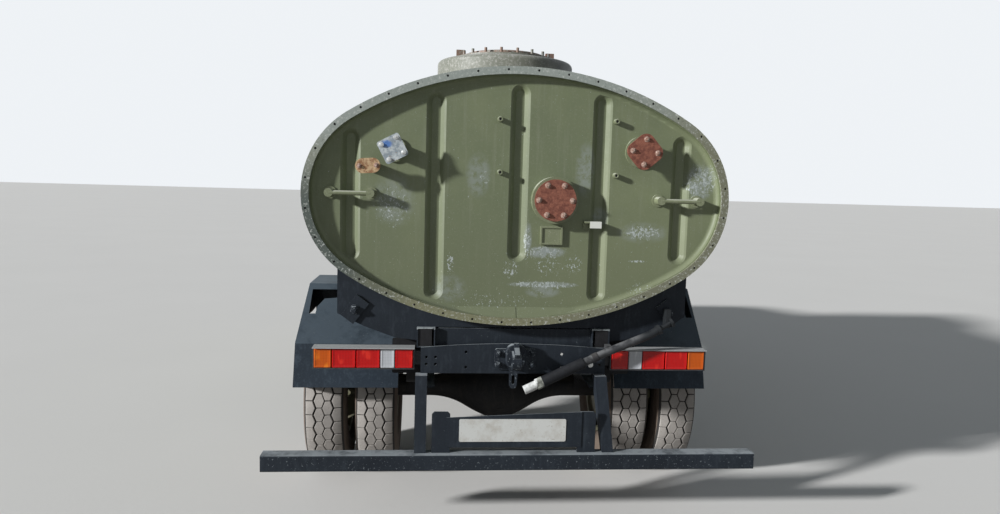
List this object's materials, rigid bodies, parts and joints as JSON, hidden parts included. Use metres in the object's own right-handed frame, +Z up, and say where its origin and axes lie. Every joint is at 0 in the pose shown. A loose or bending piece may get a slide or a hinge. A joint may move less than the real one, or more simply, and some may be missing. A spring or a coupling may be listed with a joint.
{
  "type": "tanker truck",
  "caption": "Bonneted rigid tanker truck with an oval tank, filler dome, bolted rear head fittings, drain pipe, twin rear wheels and steered front wheels.",
  "frame": {"origin": "ground level below the middle of the truck's overall box", "axes": "+X to the truck's left side, +Y to its rear, +Z up"},
  "size_m": [2.4, 5.58, 2.491],
  "materials": {
    "cab_green": "faded satin",
    "tank_green": "faded satin",
    "chassis_black": "dusty satin",
    "glass": "clear",
    "dark_plastic": "matte",
    "seat_vinyl": "matte",
    "worn_steel": "rusty",
    "grey_metal": "satin",
    "rubber": "matte",
    "engine_grey": "matte",
    "tyre": "dusty matte",
    "wheel_paint": "dusty satin",
    "red_lens": "gloss",
    "lamp_glass": "gloss",
    "plate": "blank"
  },
  "bodies": {
    "truck": {"cab_glass": "glass", "cab_shell": "cab_green", "dashboard": "dark_plastic", "drain_pipe": "grey_metal", "drain_sleeve": "rubber", "engine_block": "engine_grey", "exhaust": "worn_steel", "filler_dome": "tank_green", "frame_cross_members": "chassis_black", "frame_rails": "chassis_black", "front_axle": "chassis_black", "front_bumper": "chassis_black", "front_wings": "cab_green", "fuel_tank": "chassis_black", "head_covers": "worn_steel", "head_fittings": "tank_green", "headlamps": "lamp_glass", "lamp_housings": "chassis_black", "lamp_lenses": "red_lens", "leaf_springs": "chassis_black", "mirrors": "dark_plastic", "nose_panel": "cab_green", "number_plate": "plate", "plate_bracket": "chassis_black", "propeller_shaft": "chassis_black", "rear_axle": "chassis_black", "rear_cross_beam": "chassis_black", "rear_mudguards": "chassis_black", "seats": "seat_vinyl", "tank_beams": "chassis_black", "tank_rear_head": "tank_green", "tank_saddles": "chassis_black", "tank_shell": "tank_green", "tow_hook": "chassis_black", "underrun_bar": "chassis_black", "underrun_posts": "chassis_black"},
    "knuckle_left": {"knuckle_left": "chassis_black"},
    "knuckle_right": {"knuckle_right": "chassis_black"},
    "track_rod": {"track_rod": "chassis_black"},
    "front_wheel_left": {"front_wheel_left": "wheel_paint", "front_tyre_left": "tyre"},
    "front_wheel_right": {"front_wheel_right": "wheel_paint", "front_tyre_right": "tyre"},
    "rear_wheels_left": {"rear_wheels_left": "wheel_paint", "rear_tyres_left": "tyre"},
    "rear_wheels_right": {"rear_wheels_right": "wheel_paint", "rear_tyres_right": "tyre"},
    "door_left": {"door_left": "cab_green", "door_glass_left": "glass"},
    "door_right": {"door_right": "cab_green", "door_glass_right": "glass"},
    "bonnet": {"bonnet": "cab_green"},
    "hatch_lid": {"hatch_lid": "tank_green"}
  },
  "joints": [
    {"name": "steer_left", "type": "hinge", "parent": "truck", "child": "knuckle_left", "pos_m": [0.74, -1.91, 0.478], "axis": [0, 0, 1], "range_deg": [-32, 32]},
    {"name": "steer_right", "type": "hinge", "parent": "truck", "child": "knuckle_right", "pos_m": [-0.74, -1.91, 0.478], "axis": [0, 0, 1], "range_deg": [-32, 32]},
    {"name": "track_rod_turn", "type": "hinge", "parent": "knuckle_left", "child": "track_rod", "pos_m": [0.74, -1.74, 0.371], "axis": [0, 0, 1], "range_deg": [-32, 32]},
    {"name": "front_left_spin", "type": "hinge", "parent": "knuckle_left", "child": "front_wheel_left", "pos_m": [0.815, -1.91, 0.478], "axis": [1, 0, 0], "continuous": true},
    {"name": "front_right_spin", "type": "hinge", "parent": "knuckle_right", "child": "front_wheel_right", "pos_m": [-0.815, -1.91, 0.478], "axis": [1, 0, 0], "continuous": true},
    {"name": "rear_left_spin", "type": "hinge", "parent": "truck", "child": "rear_wheels_left", "pos_m": [0.845, 1.79, 0.478], "axis": [1, 0, 0], "continuous": true},
    {"name": "rear_right_spin", "type": "hinge", "parent": "truck", "child": "rear_wheels_right", "pos_m": [-0.845, 1.79, 0.478], "axis": [1, 0, 0], "continuous": true},
    {"name": "door_left_hinge", "type": "hinge", "parent": "truck", "child": "door_left", "pos_m": [0.985, -1.35, 1.28], "axis": [0, 0, -1], "range_deg": [0, 65]},
    {"name": "door_right_hinge", "type": "hinge", "parent": "truck", "child": "door_right", "pos_m": [-0.985, -1.35, 1.28], "axis": [0, 0, 1], "range_deg": [0, 65]},
    {"name": "bonnet_hinge", "type": "hinge", "parent": "truck", "child": "bonnet", "pos_m": [0, -1.468, 1.521], "axis": [-1, 0, 0], "range_deg": [0, 50]},
    {"name": "hatch_lid_hinge", "type": "hinge", "parent": "truck", "child": "hatch_lid", "pos_m": [0, 1.44, 2.469], "axis": [1, 0, 0], "range_deg": [0, 100]}
  ],
  "couplings": [
    {"joint": "steer_right", "follows": "steer_left", "ratio": 1},
    {"joint": "track_rod_turn", "follows": "steer_left", "ratio": -1}
  ]
}
